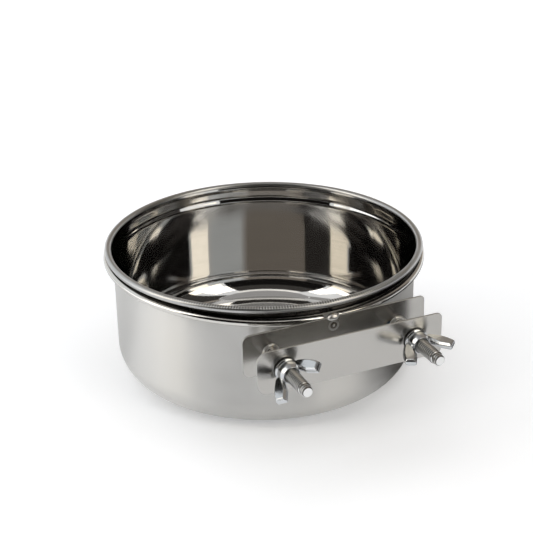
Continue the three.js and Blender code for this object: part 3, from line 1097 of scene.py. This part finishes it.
def room():
    """Two tall windows in a dim room: name, azimuths, elevations, colour and strength.

    Azimuth runs from +Y towards +X, and both angles are in degrees from the table's middle.
    """
    return (
        ("left_window", -98, -68, 14, 38, "#FFF7E8", 3.1),
        ("left_window_top", -106, -86, 38, 60, "#FFFCF6", 3.6),
        ("right_window", 134, 165, 17, 40, "#FFF5E2", 2.4),
        ("right_window_top", 142, 168, 40, 60, "#FFFAF0", 3.2),
        ("ceiling_lamp", -200, -102, 66, 72, "#FFFCF6", 1.3),
        ("sunlit_sill", -84, -50, 0, 12, "#FFFFFF", 2.2),
        ("pale_wall", -62, -13, 12, 46, "#F2F6F8", 1.05),
        ("back_wall", -62, -13, 46, 72, "#F0EEEA", 0.45),
        ("wall_turn_light", -13, -10, 12, 72, "#F4F5F4", 0.85),
        ("wall_turn_middle", -10, -7, 12, 72, "#F8F4F0", 0.65),
        ("wall_turn_dark", -7, -4, 12, 72, "#FCF3EA", 0.5),
        ("far_wall", -4, 90, 13, 72, "#FFF2E4", 0.37),
        ("door_edge", 81, 83, 10, 60, "#FFF6EC", 1.5),
        ("low_wall", -8, 90, 0, 10, "#FFFFFF", 1.3),
        ("dark_corner", 90, 134, 0, 72, "#F4ECE4", 0.06),
        ("dark_doorway", 168, 258, 0, 47, "#F4ECE4", 0.01),
        ("over_doorway", 168, 258, 47, 66, "#F4ECE4", 0.06),
        ("ceiling", 0, 360, 72, 90, "#F6F4F2", 0.45),
    )


def hang_card(away, name, left, right, low, high, code, strength):
    """A card of the room round the table, which lights it and shows in the metal."""
    material, tree = new_tree(name)
    glow = add_node(tree, "Emission", {"Color": (*srgb(code), 1), "Strength": strength})
    add_node(tree, "OutputMaterial", {"Surface": glow})
    bm = bmesh.new()
    foot = away * tan(radians(low))
    # A card that reaches 90 degrees is a flat ceiling, with a hole too small to see
    top = (0.001, foot) if high == 90 else (away, away * tan(radians(high)))
    trace(bm, [(away, foot), top])
    turn(bm, radians(90 - left), "Z")
    spin(bm, radians(right - left), 12, axis=(0, 0, -1))
    card = new_object(bm, name, [material])
    card.visible_camera = False
    return card


class BOWL_OT_stage(Operator):
    """Set up the camera, the floor and the light"""

    bl_idname = "bowl.stage"
    bl_label = "Stage"

    def execute(self, context):
        sizes = context.scene.stage_settings
        place_camera(context, sizes)
        lay_floor(sizes)
        light(context)
        for row in room():
            hang_card(sizes.room_radius, *row)
        # The overhead softbox lights the table but is kept out of the mirrors
        softbox = hang_card(sizes.room_radius, "softbox", 0, 360, 50, 90, "#FFFFFF", 1.3)
        softbox.visible_glossy = False
        return {"FINISHED"}


class BOWL_PT_sidebar(Panel):
    """Lists the pieces and their sizes"""

    bl_idname = "BOWL_PT_sidebar"
    bl_label = "Bolt-on bowl"
    bl_space_type = "VIEW_3D"
    bl_region_type = "UI"
    bl_category = "Bowl"

    def draw(self, context):
        for operator in OPERATORS:
            self.layout.operator(operator.bl_idname)
        for name, kind in SETTINGS.items():
            group = getattr(context.scene, name)
            box = self.layout.box()
            box.label(text=kind.__doc__)
            for key in kind.__annotations__:
                box.prop(group, key)


SETTINGS = {
    "bowl_sizes": BowlSizes,
    "hoop_sizes": HoopSizes,
    "clamp_sizes": ClampSizes,
    "bolt_sizes": BoltSizes,
    "nut_sizes": NutSizes,
    "bowl_colours": FinishColours,
    "stage_settings": StageSettings,
}
OPERATORS = (BOWL_OT_bowl, BOWL_OT_hoop, BOWL_OT_strips)
OPERATORS += (BOWL_OT_bolts, BOWL_OT_wing_nuts, BOWL_OT_stage)


def register():
    """Registers the groups, operators and panel."""
    for kind in (*SETTINGS.values(), *OPERATORS, BOWL_PT_sidebar):
        bpy.utils.register_class(kind)
    for name, kind in SETTINGS.items():
        setattr(Scene, name, PointerProperty(type=kind))


def unregister():
    """Takes them away again."""
    for name in SETTINGS:
        delattr(Scene, name)
    for kind in (BOWL_PT_sidebar, *reversed(OPERATORS), *reversed(SETTINGS.values())):
        bpy.utils.unregister_class(kind)


def main():
    """Builds the whole scene."""
    register()
    bpy.ops.bowl.bowl()
    bpy.ops.bowl.hoop()
    bpy.ops.bowl.strips()
    bpy.ops.bowl.bolts()
    bpy.ops.bowl.wing_nuts()
    bpy.ops.bowl.stage()


if __name__ == "__main__":
    main()
